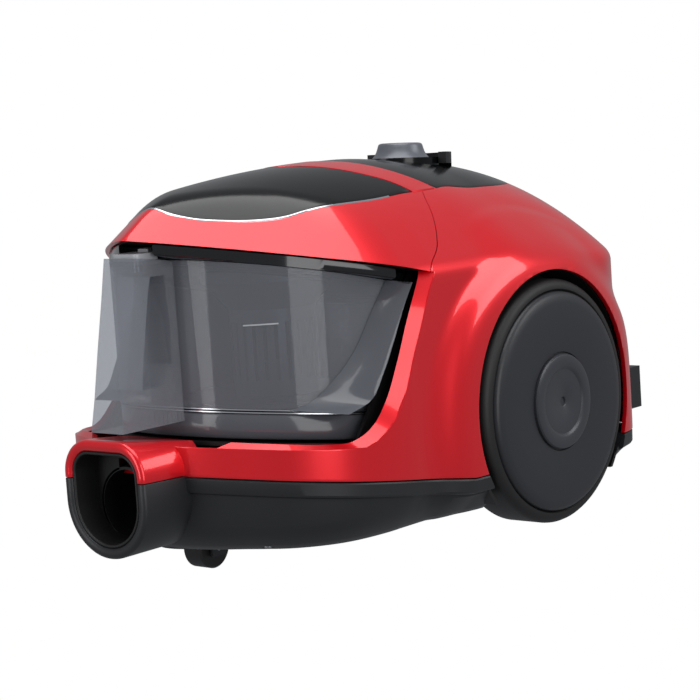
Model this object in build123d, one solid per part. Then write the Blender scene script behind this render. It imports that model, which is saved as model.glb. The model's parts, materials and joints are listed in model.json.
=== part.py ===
from build123d import *
import os
from math import cos, sin, pi, radians, degrees, atan2

# Bagless canister vacuum cleaner. Frame: +Z up, front (hose inlet) towards -Y,
# origin on the floor under the middle of the overall box. Millimetres.

# overall
LENGTH = 399.0
HALF_L = LENGTH / 2
WALL = 2.8                      # moulded shell thickness

# rear wheels
AXLE_Y, AXLE_Z = 70.5, 77.0
WHEEL_R = 77.0
WELL_R = 83.0
WELL_X = 98.8                   # inner wall of the wheel wells
HALF_W = 136.0                  # outer face of the wheel discs
DISC_R = 68.7
AXLE_R = 4.0

# crowned top skin: z = crest(y) - x^2 / CROWN
CREST_Y, CREST_Z = 15.0, 236.0
CROWN = 260.0
NOSE_DROP = 5.8e-4
TAIL_LEN, TAIL_Z, TAIL_POWER = 186.0, 150.0, 2.8

# brim plane of the hood and floor plane of the bin bay (both rise to the front)
BRIM_SLOPE, BRIM_Z0 = 0.237, 161.335      # z on the plane = BRIM_Z0 - BRIM_SLOPE * y
BRIM_TILT = degrees(atan2(BRIM_SLOPE, 1))
NOSE_R, NOSE_Y = 113.0, -57.0
BOWL_TAPER = 20.0               # inset of the tub's floor
FLARE = 0.9                     # inset of the hood side for each mm of height
BAY_SLOPE, BAY_Z0 = 0.131, 63.5
SEAM = [(-240, 71), (-166, 66), (-17, 44), (240, 44)]

# dust bin
BIN_R, BIN_Y = 98.0, -46.0
BIN_GAP = 2.0
BIN_WALL = 2.5

# hose inlet collar
COLLAR_HALF_W = 32.8
COLLAR_TOP, COLLAR_ROUND_Z = 90.0, 54.3
INLET_Z, INLET_R = 50.0, 20.5

# control knob
KNOB_Y, KNOB_Z, KNOB_TILT = 92.0, 231.5, 3.0

# motor and cord reel
MOTOR_Y, MOTOR_Z, MOTOR_R = 120.0, 106.0, 52.0
REEL_Y, REEL_Z, REEL_R = 112.0, 183.0, 52.0

# front swivel castor
CASTOR_Y, CASTOR_R, CASTOR_TRAIL = -128.0, 13.0, 8.0

# carrying handle: two flat legs that slide in guides
LEG_X0, LEG_X1 = 59.5, 64.0
LEG_Y0, LEG_Y1 = 8.0, 19.0
LEG_Z0, LEG_Z1 = 170.0, 217.5
GUIDE_WALL, GUIDE_GAP = 2.0, 0.3

# parts of the bin and the rear wall
CYCLONE_Y = -46.0
BIN_BASE_H = 18.0
BUTTON_X, BUTTON_Y0, BUTTON_Y1 = 10.3, -169.0, -150.4
DUCT_Y, DUCT_Z = -92.0, 57.0
WINDOW_X, WINDOW_Z0, WINDOW_Z1 = 62, 60, 132
CORD_R, CORD_X, CORD_Z = 7.0, -84.0, 66.0
SCREWS = [(-62, -132), (62, -132), (-74, -60), (74, -60), (-62, 160), (62, 160)]

OUT = {}


def crest(y):
    if y < CREST_Y:
        return CREST_Z - NOSE_DROP * (y - CREST_Y) ** 2
    run = min((y - CREST_Y) / TAIL_LEN, 0.95) ** TAIL_POWER
    return TAIL_Z + (CREST_Z - TAIL_Z) * (1 - run) ** (1 / TAIL_POWER)


def under_top(drop=0.0):
    """Everything below the crowned top skin, lowered by drop."""
    rows = []
    for i in range(18):
        y = -215 + 25 * i
        rows.append([Vector(x, y, crest(y) - x * x / CROWN - drop) for x in range(-160, 161, 32)])
    skin = Face.make_surface_from_array_of_points(rows)
    return extrude(skin, amount=320, dir=(0, 0, -1))


def top_layer(outline, depth, above=0.0):
    """Slice of the top skin inside a plan outline: from the skin down by depth."""
    block = extrude(Plane.XY.offset(120) * outline, amount=140)
    return block & (TOP[above] - TOP[depth])


def mirror_x(shape):
    return mirror(shape, about=Plane.YZ)


def sym_face(points, spline=False):
    """Closed plan outline from the points of its right half, front to rear."""
    if spline:
        right = Spline(*points, tangents=[(1, 0), (-1, 0)])
    else:
        right = Polyline(*points)
    return make_face([right, mirror(right, about=Plane.YZ)])


def side_prism(points, half_width):
    """Prism along X from a closed outline given as (y, z)."""
    outline = make_face(Polyline(*points, close=True))
    return extrude(Plane.YZ.offset(-half_width) * outline, amount=2 * half_width)


def brim_z(y):
    return BRIM_Z0 - BRIM_SLOPE * y


def bay_z(y):
    return BAY_Z0 - BAY_SLOPE * y


def cyl_x(r, x0, x1, y, z):
    return Pos((x0 + x1) / 2, y, z) * Rot(0, 90, 0) * Cylinder(r, x1 - x0)


def cyl_y(r, y0, y1, x, z):
    return Pos(x, (y0 + y1) / 2, z) * Rot(90, 0, 0) * Cylinder(r, y1 - y0)


def cyl_z(r, z0, z1, x, y):
    return Pos(x, y, (z0 + z1) / 2) * Cylinder(r, z1 - z0)


def block(x0, x1, y0, y1, z0, z1):
    return Pos((x0 + x1) / 2, (y0 + y1) / 2, (z0 + z1) / 2) * Box(x1 - x0, y1 - y0, z1 - z0)


def spin_x(points):
    """Solid of revolution about the rear axle line from (x, r) points."""
    profile = make_face(Polyline(*[(x, AXLE_Y, AXLE_Z + r) for x, r in points], close=True))
    return revolve(profile, axis=Axis((0, AXLE_Y, AXLE_Z), (1, 0, 0)))


def keep(name, *shapes):
    """File shapes under a node name, dropping slivers left by the cuts."""
    solids = [s for shape in shapes for s in shape.solids() if s.volume > 15.0]
    OUT[name] = solids[0] if len(solids) == 1 else Compound(solids)
    return OUT[name]


# ---------------------------------------------------------------- envelope

def plan_points(inset):
    """Right half of the widest plan outline of the body, front to rear."""
    d = inset
    return [(0, -172 + d), (18, -170.5 + d), (35, -166 + d), (50 - 0.3 * d, -159 + d),
            (66 - 0.5 * d, -150 + 0.9 * d), (82 - 0.6 * d, -140 + 0.8 * d), (96 - 0.7 * d, -127 + 0.7 * d),
            (107 - 0.8 * d, -112 + 0.5 * d), (114 - 0.9 * d, -95 + 0.3 * d), (118 - d, -77), (121 - d, -50),
            (128 - d, -15), (131 - d, 20), (131 - d, 110), (129 - d, 140 - 0.2 * d),
            (122 - 0.8 * d, 166 - 0.5 * d), (108 - 0.6 * d, 184 - 0.8 * d),
            (84 - 0.4 * d, 195 - d), (46, HALF_L - 1.2 - d), (0, HALF_L - d)]


def hood_face(inset):
    """Outline of the hood's flared side, in its own tilted plane."""
    d = inset
    run = 1 / cos(radians(BRIM_TILT))
    arc = [((NOSE_R - d) * sin(radians(a)), -(NOSE_R - d) * cos(radians(a)) * run) for a in range(0, 91, 10)]
    rear = [(121 - d, 19 * run), (131 - d, 49 * run), (140 - d, 97 * run), (146 - d, 157 * run)]
    return sym_face(arc + rear + [(146 - d, 330), (0, 330)])


def hood_flare(inset):
    """Frustum above the brim plane, plus everything below it."""
    height = 105.0
    origin = (0, NOSE_Y, brim_z(NOSE_Y))
    low = Plane(origin, x_dir=(1, 0, 0), z_dir=(0, sin(radians(BRIM_TILT)), cos(radians(BRIM_TILT))))
    high = low.offset(height) * hood_face(inset + FLARE * height)
    frustum = loft([low * hood_face(inset), high], ruled=True)
    frustum += extrude(low.offset(-6) * hood_face(inset), amount=6)
    below = side_prism([(-260, brim_z(-260)), (300, brim_z(300)), (300, -40), (-260, -40)], 200)
    return frustum + below


def body_block(inset, drop):
    """Solid inside the outer skin of the upper body."""
    column = extrude(Plane.XY.offset(30) * sym_face(plan_points(inset)), amount=230)
    return column & hood_flare(inset) & TOP[drop]


def seam_below(drop=0.0):
    return side_prism([(-240, -30)] + [(y, z - drop) for y, z in SEAM] + [(240, -30)], 200)


# ---------------------------------------------------------------- housings

def bay_side(grow=0.0):
    """Side opening of the bin bay: raked rear edge, floor and brim."""
    g = grow
    edge = [(-100 + g, bay_z(-100) - g), (-84 + g, 93), (-66 + g, 130), (-52 + g, 152),
            (-37 + g, brim_z(-37 + g))]
    return side_prism([(-240, bay_z(-240) - g)] + edge + [(-240, brim_z(-240))], 200)


def bay_round(r, floor_drop=0.0, roof=0.0):
    """Upright round pocket of the bay between its floor and the brim plane."""
    column = cyl_z(r, 20, 260, 0, BIN_Y)
    slab = side_prism([(-240, bay_z(-240) - floor_drop), (240, bay_z(240) - floor_drop),
                       (240, brim_z(240) + roof), (-240, brim_z(-240) + roof)], 200)
    return column & slab


def bay_way(half_w):
    """Straight way out of the round pocket to the front, for the bin to slide along."""
    slab = side_prism([(-240, bay_z(-240)), (240, bay_z(240)), (240, brim_z(240)), (-240, brim_z(-240))], 200)
    return block(-half_w, half_w, -240, BIN_Y, 20, 260) & slab


def wells(r, inner_x):
    return cyl_x(r, inner_x, 160, AXLE_Y, AXLE_Z) + cyl_x(r, -160, -inner_x, AXLE_Y, AXLE_Z)


def front_zone():
    """Plan zone of the front cover: ahead of the cover seam."""
    seam = [(66, 25.5), (79, 13), (92, 3), (108, -15), (121, -45), (150, -62)]
    right = [(0, 4.8), (30, 8.9), (50, 16.0), (66, 25.5)]
    curve = [Spline(*right, tangents=[(1, 0), (0.86, 0.5)]), Polyline(*seam)]
    edge = Polyline((150, -62), (150, -240), (0, -240))
    half = curve + [edge]
    plan = make_face(half + [mirror(e, about=Plane.YZ) for e in half])
    high = side_prism([(-260, brim_z(-260)), (200, brim_z(200)), (200, 320), (-260, 320)], 200)
    return extrude(Plane.XY.offset(60) * plan, amount=220) & high


PANEL_FRONT = [(0, -139), (20, -136), (40, -126), (55, -108), (64, -86), (70, -60), (72.5, -32), (71, -4),
               (62, -4.2), (45, -11), (28, -21), (0, -36)]
BAND = [(0, -34), (28, -19), (45, -9), (66, 3), (66, 24), (50, 14.2), (30, 7.0), (0, 2)]
BAND_WELL = [(0, -35), (28, -20), (45, -10), (73.5, 5.5), (73.5, 27.5), (66, 24.9), (50, 16.0), (30, 8.9),
             (0, 4.8)]
PANEL_REAR = [(0, 5.4), (30, 9.5), (50, 16.6), (66, 26.1), (71, 40), (70, 78), (64, 112), (56, 136),
              (44, 144), (0, 148)]


def panel_outline(points):
    return sym_face(points, spline=False)


def inlet_profile(grow):
    """Upright outline of the hose inlet collar: round bottom, rounded shoulders."""
    w, top = COLLAR_HALF_W + grow, COLLAR_TOP + grow
    r = 20 + grow
    low = ThreePointArc((w, COLLAR_ROUND_Z), (0, COLLAR_ROUND_Z - w), (-w, COLLAR_ROUND_Z))
    left = Line((-w, COLLAR_ROUND_Z), (-w, top - r))
    k = r * (1 - cos(radians(45)))
    arc_l = ThreePointArc((-w, top - r), (-w + k, top - k), (-w + r, top))
    roof = Line((-w + r, top), (w - r, top))
    arc_r = ThreePointArc((w - r, top), (w - k, top - k), (w, top - r))
    right = Line((w, top - r), (w, COLLAR_ROUND_Z))
    return make_face([low, left, arc_l, roof, arc_r, right])


def inlet_prism(grow, y0, y1):
    return extrude(Plane((0, y1, 0), x_dir=(1, 0, 0), z_dir=(0, -1, 0)) * inlet_profile(grow), amount=y1 - y0)


def base_pieces(inset, floor_z):
    """Tapered bowl, upright wall and proud band of the lower tub, all below the seam."""
    low = Plane.XY.offset(18) * sym_face(plan_points(BOWL_TAPER + inset))
    mid = Plane.XY.offset(38) * sym_face(plan_points(4 + inset))
    bowl = loft([low, mid], ruled=True) - block(-200, 200, -240, 240, -10, floor_z)
    wall = extrude(Plane.XY.offset(38) * sym_face(plan_points(4 + inset)), amount=50) & below_seam
    band = extrude(Plane.XY.offset(30) * sym_face(plan_points(1 + inset)), amount=60) & below_seam
    band -= seam_below(9)
    return bowl, wall, band


TOP = {d: under_top(d) for d in (0.0, 2.0, WALL, 6.0, 9.0, 16.0, 18.0)}
body_out = body_block(0, 0.0)
body_in = body_block(WALL, WALL)
below_seam = seam_below()
bay_cut = bay_side() + bay_round(BIN_R + BIN_GAP) + bay_way(BIN_R + BIN_GAP)
wheel_cut = wells(WELL_R, WELL_X)
shell = body_out - body_in - below_seam
zone = front_zone()
brim_plane = Plane((0, NOSE_Y, brim_z(NOSE_Y)), x_dir=(1, 0, 0),
                   z_dir=(0, sin(radians(BRIM_TILT)), cos(radians(BRIM_TILT))))
knob_axis = Pos(0, KNOB_Y, KNOB_Z) * Rot(-KNOB_TILT, 0, 0)
handle_cut = extrude(Plane.XY.offset(120) * panel_outline(BAND_WELL), amount=140)
REWIND_IN, REWIND_OUT = 27.8, 34.0


def knob_ring(r_in, r_out, z0, z1):
    ring = Pos(0, 0, (z0 + z1) / 2) * (Cylinder(r_out, z1 - z0) - Cylinder(r_in, z1 - z0))
    return knob_axis * ring


def rewind_sector(r_in, r_out, z0, z1, edge):
    """Crescent behind the knob, cut off straight at local y = edge."""
    ring = Pos(0, 0, (z0 + z1) / 2) * (Cylinder(r_out, z1 - z0) - Cylinder(r_in, z1 - z0))
    return knob_axis * (ring & (Pos(0, edge + 50, (z0 + z1) / 2) * Box(200, 100, z1 - z0 + 2)))


def make_hood():
    panel = top_layer(panel_outline(PANEL_FRONT), 2.0)
    keep("front_cover", (shell & zone) - bay_cut - panel - handle_cut)
    keep("front_deco_panel", panel)
    plate = extrude(brim_plane.offset(0.6) * hood_face(7.0), amount=2.2)
    plate &= cyl_z(107, 100, 260, 0, BIN_Y) + block(-130, 130, -175, BIN_Y, 100, 260)
    keep("hood_liner", plate)


def make_handle():
    outer = [(0, -38), (28, -23), (45, -13), (76, 2), (76, 30.5), (66, 28), (50, 19), (30, 12), (0, 8)]
    tray = (top_layer(panel_outline(outer), 18.0) & TOP[WALL]) - (handle_cut - TOP[16.0])
    band = top_layer(panel_outline(BAND), 6.0)
    ends = top_layer(panel_outline(BAND_WELL), 9.0) - block(-66.6, 66.6, -60, 60, 150, 260)
    tray -= ends
    g, w = GUIDE_GAP, GUIDE_GAP + GUIDE_WALL
    for side in (-1, 1):
        lo, hi = sorted((side * LEG_X0, side * LEG_X1))
        band += block(lo, hi, LEG_Y0, LEG_Y1, LEG_Z0, LEG_Z1)
        slot = block(lo - g, hi + g, LEG_Y0 - g, LEG_Y1 + g, 150, 212)
        sleeve = block(lo - w, hi + w, LEG_Y0 - w, LEG_Y1 + w, LEG_Z0 - 3, 212) & TOP[18.0]
        ends += sleeve - slot
        tray -= slot
    keep("handle_tray", tray)
    keep("handle_guides", ends)
    keep("carry_handle", band)


def make_main():
    ledge = ((bay_side(WALL) - bay_side()) - bay_round(BIN_R + BIN_GAP + 2.0, 10)) & body_out
    ledge -= bay_way(BIN_R + BIN_GAP)
    main = (shell - zone) - bay_cut + (ledge - below_seam)
    main = main - wheel_cut - handle_cut - inlet_prism(0.0, -230, -140)
    main -= block(-WINDOW_X, WINDOW_X, 188, 215, WINDOW_Z0, WINDOW_Z1)
    main -= cyl_y(CORD_R, 180, 215, CORD_X, CORD_Z)
    knob_well = knob_axis * Pos(0, 0, -6) * Cylinder(27.4, 44)
    rewind_well = rewind_sector(20, REWIND_OUT + 0.4, -20, 20, 5.6)
    panel = top_layer(panel_outline(PANEL_REAR), 2.0)
    main = main - panel - knob_well - rewind_well
    keep("main_housing", main)
    keep("rear_deco_panel", panel - knob_well - rewind_well)


def make_inlet():
    cover = (inlet_prism(0, -HALF_L, -150) - inlet_prism(-6.0, -HALF_L - 1, -130)) - below_seam
    keep("inlet_cover", cover - bay_cut - OUT["main_housing"])
    socket = inlet_prism(-6.0, -HALF_L + 1.5, -171.5) - inlet_prism(-8.5, -230, -181)
    socket += cyl_y(INLET_R + 1.8, -181, -152.5, 0, INLET_Z)
    socket -= cyl_y(INLET_R, -230, -100, 0, INLET_Z)
    keep("inlet_socket", socket)
    duct = cyl_y(13, -152.5, DUCT_Y, 0, DUCT_Z) + cyl_z(13, DUCT_Z, bay_z(DUCT_Y) + 20, 0, DUCT_Y)
    duct += cyl_y(INLET_R + 1.8, -152.5, -150, 0, INLET_Z) & block(-30, 30, -160, -140, 36, 90)
    duct += Pos(0, DUCT_Y, DUCT_Z) * Sphere(13)
    duct -= cyl_y(11, -160, DUCT_Y, 0, DUCT_Z) + cyl_z(11, DUCT_Z, 120, 0, DUCT_Y)
    duct -= Pos(0, DUCT_Y, DUCT_Z) * Sphere(11)
    duct &= seam_slab(-200, -2.6)
    keep("inlet_duct", duct)


def seam_slab(low, high):
    """Everything between two heights measured from the bay's sloping floor."""
    return side_prism([(-240, bay_z(-240) + low), (240, bay_z(240) + low),
                       (240, bay_z(240) + high), (-240, bay_z(-240) + high)], 200)


def make_base():
    bowl, wall, band = base_pieces(0, 18)
    base = bowl + wall + band
    for hollow in base_pieces(2.6, 20.6)[:2]:
        base -= hollow
    collar = inlet_prism(0, -HALF_L, -140) - inlet_prism(-6.0, -HALF_L - 1, -130)
    base -= inlet_prism(0, -230, -130)
    base += collar & block(-60, 60, -HALF_L, -150, 0, 120) & below_seam
    base = base - wells(WELL_R, WELL_X) - cyl_z(24.0, 10, 40, 0, CASTOR_Y)
    screws = []
    for x, y in SCREWS:
        base += cyl_z(5.0, 18, 30, x, y)
        base -= cyl_z(3.4, 10, 22, x, y) + cyl_z(1.6, 10, 60, x, y)
        screws += [cyl_z(3.2, 20.4, 22, x, y) + cyl_z(1.5, 22, 30, x, y)]
    keep("base_housing", base)
    keep("housing_screws", *screws)


def make_bay():
    ring = bay_round(BIN_R + BIN_GAP + 2.0, 2.5) + bay_way(BIN_R + BIN_GAP + 2.0)
    ring -= bay_round(BIN_R + BIN_GAP) + bay_way(BIN_R + BIN_GAP)
    ring -= bay_side(WALL)
    floor = bay_round(BIN_R + BIN_GAP, 2.5) - bay_round(BIN_R + BIN_GAP)
    liner = (ring & body_in) + floor
    liner -= cyl_z(11.2, 40, 120, 0, DUCT_Y)
    for z in range(100, 141, 8):
        liner -= block(-30, 30, 50, 70, z, z + 4)
    keep("bin_bay", liner)


# ---------------------------------------------------------------- dust bin

def bin_slab(floor_up, brim_down, brim_up=0.0):
    """Between the bay's floor raised by floor_up and the brim plane lowered by brim_down."""
    return side_prism([(-240, bay_z(-240) + floor_up), (240, bay_z(240) + floor_up),
                       (240, brim_z(240) - brim_down), (-240, brim_z(-240) - brim_down)], 200)


def make_bin():
    column = cyl_z(BIN_R, 20, 260, 0, BIN_Y)
    bore = cyl_z(BIN_R - BIN_WALL, 20, 260, 0, BIN_Y)
    cup = (column - bore) & bin_slab(BIN_BASE_H, 7.4)
    cheek_edge = [(-101, bay_z(-101) + BIN_BASE_H), (-88, 93.5), (-70, 130), (-56, 152),
                  (-45, brim_z(-45) - 7.4)]
    cheek_front = [(-52, brim_z(-52) - 7.4), (-67, 148), (-80, 127), (-94, 111), (-107, 100),
                   (-113, bay_z(-113) + BIN_BASE_H)]
    inner = extrude(Plane.XY.offset(40) * sym_face(plan_points(14)), amount=200)
    cheeks = side_prism(cheek_edge + cheek_front, 118) & inner & hood_flare(7)
    cup += cheeks - bore
    keep("dust_bin", cup)
    base = (column & bin_slab(1.6, 0)) - (column & bin_slab(BIN_BASE_H, -20))
    base -= cyl_z(BIN_R - 6, 20, 260, 0, BIN_Y) & bin_slab(5.0, -20)
    base -= cyl_z(11.2, 40, 120, 0, DUCT_Y)
    keep("bin_base", base)
    lid = extrude(brim_plane.offset(-7.0) * hood_face(4.0), amount=6.0)
    lid &= cyl_z(BIN_R + 0.5, 100, 260, 0, BIN_Y) + block(-130, 130, -175, -44, 100, 260)
    lid -= block(-13.6, 13.6, -180, -149, 150, 260)
    seal = cyl_z(95.2, 100, 260, 0, BIN_Y) - cyl_z(91, 100, 260, 0, BIN_Y)
    seal &= bin_slab(60, 7.6) - bin_slab(60, 10.0)
    lid -= cyl_z(16, 100, 260, 0, CYCLONE_Y)
    keep("bin_lid", lid)
    keep("lid_seal", seal)


def make_cyclone():
    top = bin_slab(0, 7.6)
    cone = revolve(Plane.YZ * Pos(CYCLONE_Y, 0) * make_face(Polyline(
        (0, 96), (27, 96), (27, 150), (44, 168), (44, 200), (0, 200), close=True)),
        axis=Axis((0, CYCLONE_Y, 0), (0, 0, 1)))
    hollow = revolve(Plane.YZ * Pos(CYCLONE_Y, 0) * make_face(Polyline(
        (0, 99), (24.6, 99), (24.6, 151), (41.6, 169), (41.6, 200), (0, 200), close=True)),
        axis=Axis((0, CYCLONE_Y, 0), (0, 0, 1)))
    body = (cone - hollow) & top
    for i in range(24):
        slot = Rot(0, 0, 15 * i) * Pos(26, 0, 124) * Box(8, 2.4, 36)
        body -= Pos(0, CYCLONE_Y, 0) * slot
    keep("cyclone_body", body)
    tube = (cyl_z(15.8, 118, 220, 0, CYCLONE_Y) - cyl_z(13.8, 100, 230, 0, CYCLONE_Y)) & bin_slab(0, 1.4)
    keep("cyclone_outlet_tube", tube)
    disc = cyl_z(58, 93, 96, 0, CYCLONE_Y) + (cyl_z(12, 80, 93, 0, CYCLONE_Y) & bin_slab(5.0, 0))
    keep("dust_plate", disc)


def make_grip():
    face = [(-193, 93.6), (-188.6, 112), (-183, 140), (-177, 168), (-172.4, 191.6), (-149.6, 188.6),
            (-140, 186), (-140, 93.6)]
    gap = [(-175, 116), (-173, 130), (-169, 150), (-164.5, 172), (-162, 180), (-151, 180), (-149, 150),
           (-150, 128), (-158, 116)]
    grip = side_prism(face, 13) - side_prism(gap, 20) - cyl_z(BIN_R, 20, 260, 0, BIN_Y)
    grip -= block(-BUTTON_X - 0.5, BUTTON_X + 0.5, BUTTON_Y0 - 0.5, BUTTON_Y1 + 0.5, 186.6, 200)
    grip -= cyl_z(3.4, 182.5, 200, 0, -159)
    keep("bin_handle", grip)
    button = block(-BUTTON_X, BUTTON_X, BUTTON_Y0, BUTTON_Y1, 189.4, 193.6)
    button = fillet(button.edges().filter_by(Axis.Z), 2.5)
    keep("release_button", button + block(-4, 4, -153.4, BUTTON_Y1, 189.4, 195.4))
    keep("button_spring", cyl_z(2.8, 182.6, 189.3, 0, -159) - cyl_z(1.9, 180, 190, 0, -159))


# ---------------------------------------------------------------- running gear

def make_wheel(side):
    name = "right" if side > 0 else "left"
    tag = lambda part: f"{part}_{name}"
    flip = (lambda s: s) if side > 0 else mirror_x
    tyre = spin_x([(104, 70.2), (101.6, 72), (100.6, 74.6), (103.5, 76.5), (110, 77), (122, 77), (128, 75.6), (130.5, 72.6),
                   (131, DISC_R + 0.2), (128, DISC_R + 0.2), (128, 66.2), (104, 66.2)])
    disc = spin_x([(100.6, AXLE_R + 0.06), (100.6, 12), (128, 12), (130.8, 14), (130.8, 62), (104, 62), (104, 66),
                   (128.2, 66), (128.2, DISC_R), (131, DISC_R), (133.2, DISC_R - 1), (134.4, DISC_R - 4),
                   (134.4, 30.1), (133, 30.1), (133, AXLE_R + 0.06)])
    cap = spin_x([(133.1, 0), (133.1, 29.9), (135.2, 29.9), (HALF_W, 28.6), (HALF_W, 21), (134.6, 19.2), (134.6, 1.5),
                  (134.2, 1.5), (134.2, 0)])
    axle = cyl_x(AXLE_R, 78, 131.5, AXLE_Y, AXLE_Z)
    well = cyl_x(WELL_R + 2.2, WELL_X - 2.2, 126, AXLE_Y, AXLE_Z) - cyl_x(WELL_R, WELL_X, 130, AXLE_Y, AXLE_Z)
    well += cyl_x(10, 78, WELL_X - 2.2, AXLE_Y, AXLE_Z)
    well -= cyl_x(AXLE_R, 70, 140, AXLE_Y, AXLE_Z)
    keep(tag("tyre"), flip(tyre))
    keep(tag("wheel_disc"), flip(disc))
    keep(tag("hub_cap"), flip(cap))
    AXLES.append(flip(axle))
    well = flip(well & block(0, 140, -20, 170, 23, 170)) & (body_out + block(-140, 140, -40, 190, 18, 60))
    WELLS.append(well - OUT["main_housing"] - OUT["base_housing"] - OUT["bin_bay"])


def make_castor():
    y, z = CASTOR_Y, CASTOR_R
    trail = y + CASTOR_TRAIL
    cup = cyl_z(23.6, 18, 35, 0, y) - cyl_z(22, 10, 32.4, 0, y) + cyl_z(8, 32.4, 41.5, 0, y)
    keep("castor_housing", cup - cyl_z(4.06, 10, 50, 0, y))
    fork = cyl_z(12, 27.5, 31.8, 0, y) + cyl_z(4, 31.8, 41.5, 0, y)
    for x in (-9.4, 9.4):
        fork += block(x - 1.2, x + 1.2, trail - 5.5, trail + 5.5, 8, 28)
    fork -= cyl_x(2.0, -20, 20, trail, z)
    keep("castor_fork", fork)
    keep("castor_axle", cyl_x(2.0, -10.6, 10.6, trail, z))
    wheel = cyl_x(z, -7.4, 7.4, trail, z)
    wheel = chamfer(wheel.edges().filter_by(GeomType.CIRCLE), 1.2) - cyl_x(2.06, -20, 20, trail, z)
    keep("castor_wheel", wheel)


# ---------------------------------------------------------------- controls

def make_controls():
    cup = knob_ring(24.8, 27.2, -14, 1.2) + knob_ring(6.2, 27.2, -14, -12)
    keep("knob_bezel", cup)
    profile = [(5.0, -22), (5.0, -9), (24.2, -9), (24.2, -1.5), (21.6, -0.6), (18.2, 2.2), (15.9, 6.0),
               (14.8, 10.2), (13.8, 11.2), (12.4, 11.4), (10.5, 10.4), (7.1, 10.0), (7.1, 4.0), (2.2, 4.0),
               (2.2, -22)]
    knob = revolve(Plane.XZ * make_face(Polyline(*profile, close=True)), axis=Axis.Z)
    keep("power_knob", knob_axis * knob)
    button = Pos(0, 0, 8.6) * Cylinder(6.9, 3.4) + Pos(0, 0, 5.55) * Cylinder(1.9, 2.7)
    keep("power_button", knob_axis * button)
    pot = Pos(0, 0, -19) * (Box(30, 26, 9) - Cylinder(5.06, 12))
    switch = Pos(0, 0, -27.6) * Box(18, 14, 8) + Pos(0, 0, -10.3) * Cylinder(1.9, 26.6)
    keep("speed_control", knob_axis * pot, knob_axis * switch)
    crescent = rewind_sector(REWIND_IN, REWIND_OUT, -3.0, 4.6, 6.0)
    crescent += rewind_sector(REWIND_IN, REWIND_OUT, -10, -2.9, 20)
    keep("rewind_button", crescent)


# ---------------------------------------------------------------- inside

def make_motor():
    y0, y1 = 66, 172
    can = cyl_y(MOTOR_R, y0, y1, 0, MOTOR_Z) - cyl_y(MOTOR_R - 2.5, y0 + 2.5, y1 - 2.5, 0, MOTOR_Z)
    can -= cyl_y(22, y0 - 5, y0 + 5, 0, MOTOR_Z)
    for i in range(8):
        a = radians(45 * i + 22.5)
        can -= cyl_y(8, y1 - 6, y1 + 5, 32 * cos(a), MOTOR_Z + 32 * sin(a))
    can -= cyl_y(10, y1 - 6, y1 + 5, 0, MOTOR_Z)
    keep("motor_housing", can)
    shaft_r = 4.0
    shaft = cyl_y(shaft_r, 72, 168, 0, MOTOR_Z)
    keep("motor_shaft", shaft)
    fan = cyl_y(42, 74, 76, 0, MOTOR_Z) + cyl_y(9, 74, 88, 0, MOTOR_Z)
    for i in range(9):
        fan += Pos(0, 0, MOTOR_Z) * Rot(0, 40 * i, 0) * Pos(25, 81.5, 0) * Rot(0, 25, 0) * Box(30, 11, 1.6)
    keep("fan_impeller", fan - shaft)
    keep("rotor_core", cyl_y(25, 104, 138, 0, MOTOR_Z) + cyl_y(12, 138, 152, 0, MOTOR_Z) - shaft)
    stator = cyl_y(42, 102, 140, 0, MOTOR_Z) - cyl_y(26, 100, 142, 0, MOTOR_Z)
    keep("motor_stator", stator)
    plates = cyl_y(MOTOR_R - 2.6, 92, 95, 0, MOTOR_Z) - cyl_y(11, 90, 100, 0, MOTOR_Z)
    for i in range(6):
        plates -= cyl_y(9, 90, 100, 32 * cos(pi / 3 * i), MOTOR_Z + 32 * sin(pi / 3 * i))
    rear = cyl_y(MOTOR_R - 2.6, 156, 159, 0, MOTOR_Z) - cyl_y(11, 150, 162, 0, MOTOR_Z)
    for i in range(6):
        rear -= cyl_y(9, 150, 162, 32 * cos(pi / 3 * i), MOTOR_Z + 32 * sin(pi / 3 * i))
    keep("motor_end_plates", plates, rear)
    bearing = lambda y: cyl_y(11, y, y + 3, 0, MOTOR_Z) - cyl_y(shaft_r + 0.05, y - 1, y + 5, 0, MOTOR_Z)
    keep("motor_bearings", bearing(92), bearing(156))
    brush = lambda side: block(*sorted((side * 12.4, side * 30)), 142, 149, MOTOR_Z - 4, MOTOR_Z + 4)
    keep("carbon_brushes", brush(-1), brush(1))
    mount = lambda y: (cyl_y(MOTOR_R + 5, y, y + 8, 0, MOTOR_Z) - cyl_y(MOTOR_R, y - 1, y + 10, 0, MOTOR_Z))
    keep("motor_mounts", mount(72), mount(158))
    sponge = block(-34, 34, 60.4, 65.4, 88, 146)
    keep("pre_motor_filter", sponge)
    keep("exhaust_filter", block(-56, 56, 174, 188, WINDOW_Z0 + 4, WINDOW_Z1 - 4))
    grille = block(-WINDOW_X + 0.5, WINDOW_X - 0.5, 193.6, 196.4, WINDOW_Z0 + 0.5, WINDOW_Z1 - 0.5)
    for z in range(WINDOW_Z0 + 8, WINDOW_Z1 - 8, 7):
        for x in (-42, -14, 14, 42):
            grille -= block(x - 11, x + 11, 190, 200, z, z + 3.2)
    keep("exhaust_grille", grille)


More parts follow.
